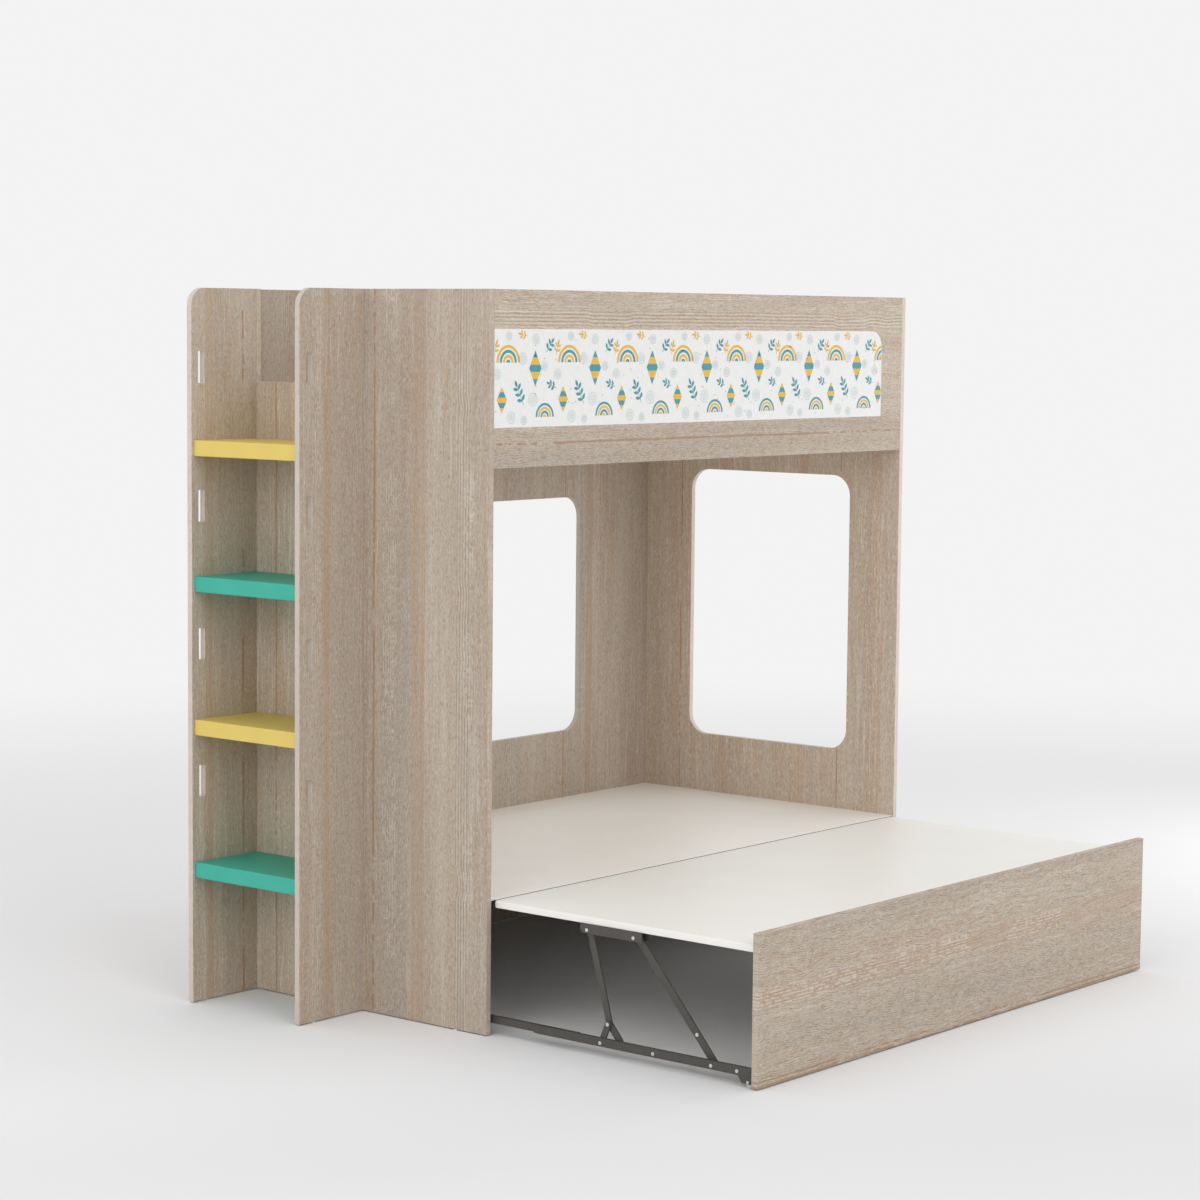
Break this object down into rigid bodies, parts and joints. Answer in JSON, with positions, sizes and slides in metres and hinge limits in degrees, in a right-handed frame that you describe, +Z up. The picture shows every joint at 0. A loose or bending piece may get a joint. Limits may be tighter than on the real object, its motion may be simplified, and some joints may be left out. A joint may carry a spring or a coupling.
{
  "type": "trundle bunk bed",
  "caption": "Bunk bed of laminated boards with an end ladder and a pull-out trundle whose platform rises on folding steel struts.",
  "frame": {"origin": "on the floor, under the middle of the whole footprint with the trundle pulled out", "axes": "+X from the ladder end to the far end, +Y from the pulled-out trundle to the back panel, +Z up"},
  "size_m": [2.198, 1.919, 2],
  "materials": {
    "oak_laminate": "matt grey oak laminate with vertical grain",
    "cream_board": "satin cream laminate",
    "yellow_paint": "satin yellow lacquer",
    "teal_paint": "satin teal lacquer",
    "printed_board": "satin printed hardboard",
    "raw_wood": "planed softwood",
    "dark_steel": "satin dark powder coat",
    "bright_steel": "bright zinc",
    "grey_plastic": "light grey plastic"
  },
  "bodies": {
    "bunk": {"ladder_end_panel": "oak_laminate", "far_end_panel": "oak_laminate", "back_panel": "oak_laminate", "guard_rail": "oak_laminate", "guard_print_panel": "printed_board", "ladder_upright_near": "oak_laminate", "ladder_upright_far": "oak_laminate", "ladder_step_1": "teal_paint", "ladder_step_2": "yellow_paint", "ladder_step_3": "teal_paint", "ladder_step_4": "yellow_paint", "upper_bed_board": "cream_board", "upper_front_cleat": "raw_wood", "upper_back_cleat": "raw_wood", "upper_ladder_end_cleat": "raw_wood", "upper_far_end_cleat": "raw_wood", "upper_cross_beam_1": "raw_wood", "upper_cross_beam_2": "raw_wood", "lower_bed_board": "cream_board", "lower_back_cleat": "raw_wood", "lower_ladder_end_cleat": "raw_wood", "lower_far_end_cleat": "raw_wood", "lower_cross_tube": "dark_steel", "tube_sockets": "dark_steel", "corner_brackets": "dark_steel", "bracket_screw_heads": "bright_steel", "floor_glides": "grey_plastic"},
    "trundle_base": {"trundle_front_panel": "oak_laminate", "outer_side_plate_left": "dark_steel", "outer_side_plate_right": "dark_steel", "inner_side_plate_left": "dark_steel", "inner_side_plate_right": "dark_steel", "long_rail_left": "dark_steel", "long_rail_right": "dark_steel", "rear_wheel_fork_left": "dark_steel", "rear_wheel_fork_right": "dark_steel", "base_rivets": "bright_steel", "wheel_axles": "bright_steel", "base_front_tube": "dark_steel", "panel_brackets": "dark_steel", "panel_screws": "bright_steel", "guide_buttons": "grey_plastic"},
    "front_struts": {"front_strut_left": "dark_steel", "front_strut_right": "dark_steel", "strut_rivets": "bright_steel"},
    "platform": {"trundle_board": "cream_board", "upper_bar_left": "dark_steel", "upper_bar_right": "dark_steel", "bar_rivets": "bright_steel", "platform_cross_rail_front": "dark_steel", "platform_cross_rail_rear": "dark_steel"},
    "rear_struts": {"rear_strut_left": "dark_steel", "rear_strut_right": "dark_steel"},
    "prop_links": {"prop_link_left": "dark_steel", "prop_link_right": "dark_steel", "link_rivets": "bright_steel"},
    "front_wheel_left": {"front_wheel_left": "grey_plastic"},
    "front_wheel_right": {"front_wheel_right": "grey_plastic"},
    "rear_wheel_left": {"rear_wheel_left": "grey_plastic"},
    "rear_wheel_right": {"rear_wheel_right": "grey_plastic"}
  },
  "joints": [
    {"name": "trundle_slide", "type": "slide", "parent": "bunk", "child": "trundle_base", "axis": [0, 1, 0], "range_m": [0, 0.8735]},
    {"name": "front_strut_fold", "type": "hinge", "parent": "trundle_base", "child": "front_struts", "pos_m": [0, -0.8055, 0.0384], "axis": [-1, 0, 0], "range_deg": [0, 38.8]},
    {"name": "platform_level", "type": "hinge", "parent": "front_struts", "child": "platform", "pos_m": [0, -0.5485, 0.3315], "axis": [1, 0, 0], "range_deg": [0, 38.8]},
    {"name": "rear_strut_fold", "type": "hinge", "parent": "platform", "child": "rear_struts", "pos_m": [0, -0.3925, 0.3315], "axis": [-1, 0, 0], "range_deg": [0, 60.05]},
    {"name": "prop_link_fold", "type": "hinge", "parent": "trundle_base", "child": "prop_links", "pos_m": [0, -0.4405, 0.0384], "axis": [1, 0, 0], "range_deg": [0, 62.35]},
    {"name": "front_wheel_left_roll", "type": "hinge", "parent": "trundle_base", "child": "front_wheel_left", "pos_m": [-0.8105, -0.9235, 0.0153], "axis": [-1, 0, 0], "range_deg": [0, 3338.52]},
    {"name": "front_wheel_right_roll", "type": "hinge", "parent": "trundle_base", "child": "front_wheel_right", "pos_m": [1.0585, -0.9235, 0.0153], "axis": [-1, 0, 0], "range_deg": [0, 3338.52]},
    {"name": "rear_wheel_left_roll", "type": "hinge", "parent": "trundle_base", "child": "rear_wheel_left", "pos_m": [-0.8105, 0.0385, 0.0153], "axis": [-1, 0, 0], "range_deg": [0, 3338.52]},
    {"name": "rear_wheel_right_roll", "type": "hinge", "parent": "trundle_base", "child": "rear_wheel_right", "pos_m": [1.0585, 0.0385, 0.0153], "axis": [-1, 0, 0], "range_deg": [0, 3338.52]}
  ],
  "couplings": [
    {"joint": "front_strut_fold", "follows": "trundle_slide", "rad_per_m": 0.77435},
    {"joint": "platform_level", "follows": "trundle_slide", "rad_per_m": 0.77435},
    {"joint": "rear_strut_fold", "follows": "trundle_slide", "rad_per_m": 1.1988},
    {"joint": "prop_link_fold", "follows": "trundle_slide", "rad_per_m": 1.2448},
    {"joint": "front_wheel_left_roll", "follows": "trundle_slide", "rad_per_m": 66.667},
    {"joint": "front_wheel_right_roll", "follows": "trundle_slide", "rad_per_m": 66.667},
    {"joint": "rear_wheel_left_roll", "follows": "trundle_slide", "rad_per_m": 66.667},
    {"joint": "rear_wheel_right_roll", "follows": "trundle_slide", "rad_per_m": 66.667}
  ]
}
